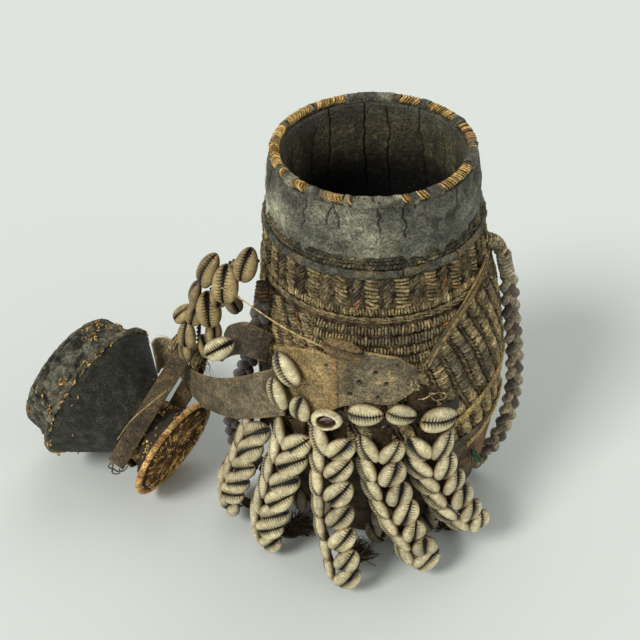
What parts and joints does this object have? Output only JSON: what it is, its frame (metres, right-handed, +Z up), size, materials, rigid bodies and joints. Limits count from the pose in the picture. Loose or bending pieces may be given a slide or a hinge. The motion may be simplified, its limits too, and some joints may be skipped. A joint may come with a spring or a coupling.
{
  "type": "milk jug",
  "caption": "Woven milk jug with a charcoal neck, hide boot, leather band, strands of cowrie shells, rope handles and a stopper lid on a tether.",
  "frame": {"origin": "middle of the flat base, on the floor", "axes": "+Z up, front with the cowrie strands towards -Y, lid at -X"},
  "size_m": [0.3745, 0.2145, 0.3],
  "materials": {
    "charcoal": "matte, charcoal and fat coated plant fibre",
    "weave": "matte, twined plant fibre, smoked grey-brown",
    "lid_weave": "matte, closely woven plant fibre, blackened",
    "binding": "matte, golden whip-stitched fibre",
    "coil": "matte, coiled fibre, orange-brown",
    "hide": "worn, smooth hide",
    "leather": "stiff, scuffed, grey-brown",
    "shell": "glossy cowrie shell, cream",
    "rope": "matte, plaited fibre rope",
    "cord": "matte, twisted twine",
    "wire": "dull, tarnished"
  },
  "bodies": {
    "jug": {"inner_vessel": "charcoal", "woven_jacket": "weave", "rim_binding": "binding", "shoulder_ring": "charcoal", "ridge_cord": "cord", "belly_coil_1": "weave", "belly_coil_2": "weave", "belly_coil_3": "weave", "hide_boot": "hide", "strand_belt": "leather", "belly_band": "leather", "lower_patch": "leather", "upper_lace": "cord", "lower_lace": "cord", "hanging_cowrie_1": "shell", "hanging_cowrie_2": "shell", "hanging_cowrie_3": "shell", "ring_cowrie": "shell", "band_cowrie_1": "shell", "band_cowrie_2": "shell", "band_cowrie_3": "shell", "leather_tab": "leather", "side_flap": "leather", "flap_cowrie": "shell", "right_top_lashing": "cord", "right_foot_lashing": "cord", "left_top_lashing": "cord", "left_foot_lashing": "cord"},
    "strand_1": {"strand_1_shells": "shell", "strand_1_strip": "hide"},
    "strand_2": {"strand_2_shells": "shell", "strand_2_strip": "hide"},
    "strand_3": {"strand_3_shells": "shell", "strand_3_strip": "hide"},
    "strand_4": {"strand_4_shells": "shell", "strand_4_strip": "hide"},
    "strand_5": {"strand_5_shells": "shell", "strand_5_strip": "hide"},
    "lid": {"lid_body": "lid_weave", "lid_shoulder_binding": "binding", "lid_plug_binding": "binding", "lid_foot_binding": "binding", "lid_foot_disc": "coil"},
    "lid_strap": {"lid_strap": "leather", "strap_wire": "wire"},
    "tether": {"twine_knot": "cord", "tether_strap": "leather", "tether_cord": "cord", "tether_cowrie_1": "shell", "tether_cowrie_2": "shell", "tether_cowrie_3": "shell", "tether_cowrie_4": "shell", "tether_cowrie_5": "shell", "tether_cowrie_6": "shell", "tether_cowrie_7": "shell", "tether_cowrie_8": "shell", "tether_cowrie_9": "shell"},
    "right_rope": {"right_rope": "rope"},
    "left_rope": {"left_rope": "rope"}
  },
  "joints": [
    {"name": "tether_swing", "type": "hinge", "parent": "jug", "child": "tether", "pos_m": [-0.0691, -0.058, 0.144], "axis": [-0.1141, 0.3662, 0.9235], "range_deg": [0, 20]},
    {"name": "lid_lift", "type": "hinge", "parent": "tether", "child": "lid_strap", "pos_m": [-0.13996, 0.02035, 0.1146], "axis": [-0.7812, 0.547, 0.3007], "range_deg": [0, 18]},
    {"name": "lid_spin", "type": "hinge", "parent": "lid_strap", "child": "lid", "pos_m": [-0.1759, 0.0055, 0.04825], "axis": [-0.7812, 0.547, 0.3007], "continuous": true},
    {"name": "strand_1_swing", "type": "hinge", "parent": "jug", "child": "strand_1", "pos_m": [-0.07787, -0.03968, 0.1375], "axis": [-0.454, 0.891, 0], "range_deg": [0, 3]},
    {"name": "strand_2_swing", "type": "hinge", "parent": "jug", "child": "strand_2", "pos_m": [-0.05848, -0.06495, 0.1375], "axis": [-0.7431, 0.6691, 0], "range_deg": [0, 8]},
    {"name": "strand_3_swing", "type": "hinge", "parent": "jug", "child": "strand_3", "pos_m": [-0.03359, -0.08069, 0.1375], "axis": [-0.9232, 0.3843, 0], "range_deg": [0, 15]},
    {"name": "strand_4_swing", "type": "hinge", "parent": "jug", "child": "strand_4", "pos_m": [-0.00396, -0.08731, 0.1375], "axis": [-0.999, 0.0454, 0], "range_deg": [0, 15]},
    {"name": "strand_5_swing", "type": "hinge", "parent": "jug", "child": "strand_5", "pos_m": [0.02643, -0.08331, 0.1375], "axis": [-0.9532, -0.3024, 0], "range_deg": [0, 15]},
    {"name": "right_handle_swing", "type": "hinge", "parent": "jug", "child": "right_rope", "pos_m": [0.0808, -0.008, 0.217], "axis": [0.0112, 0.0152, -0.9998], "range_deg": [-25, 25]},
    {"name": "left_handle_swing", "type": "hinge", "parent": "jug", "child": "left_rope", "pos_m": [-0.08, -0.036, 0.205], "axis": [-0.0729, 0.1614, -0.9842], "range_deg": [-20, 20]}
  ]
}
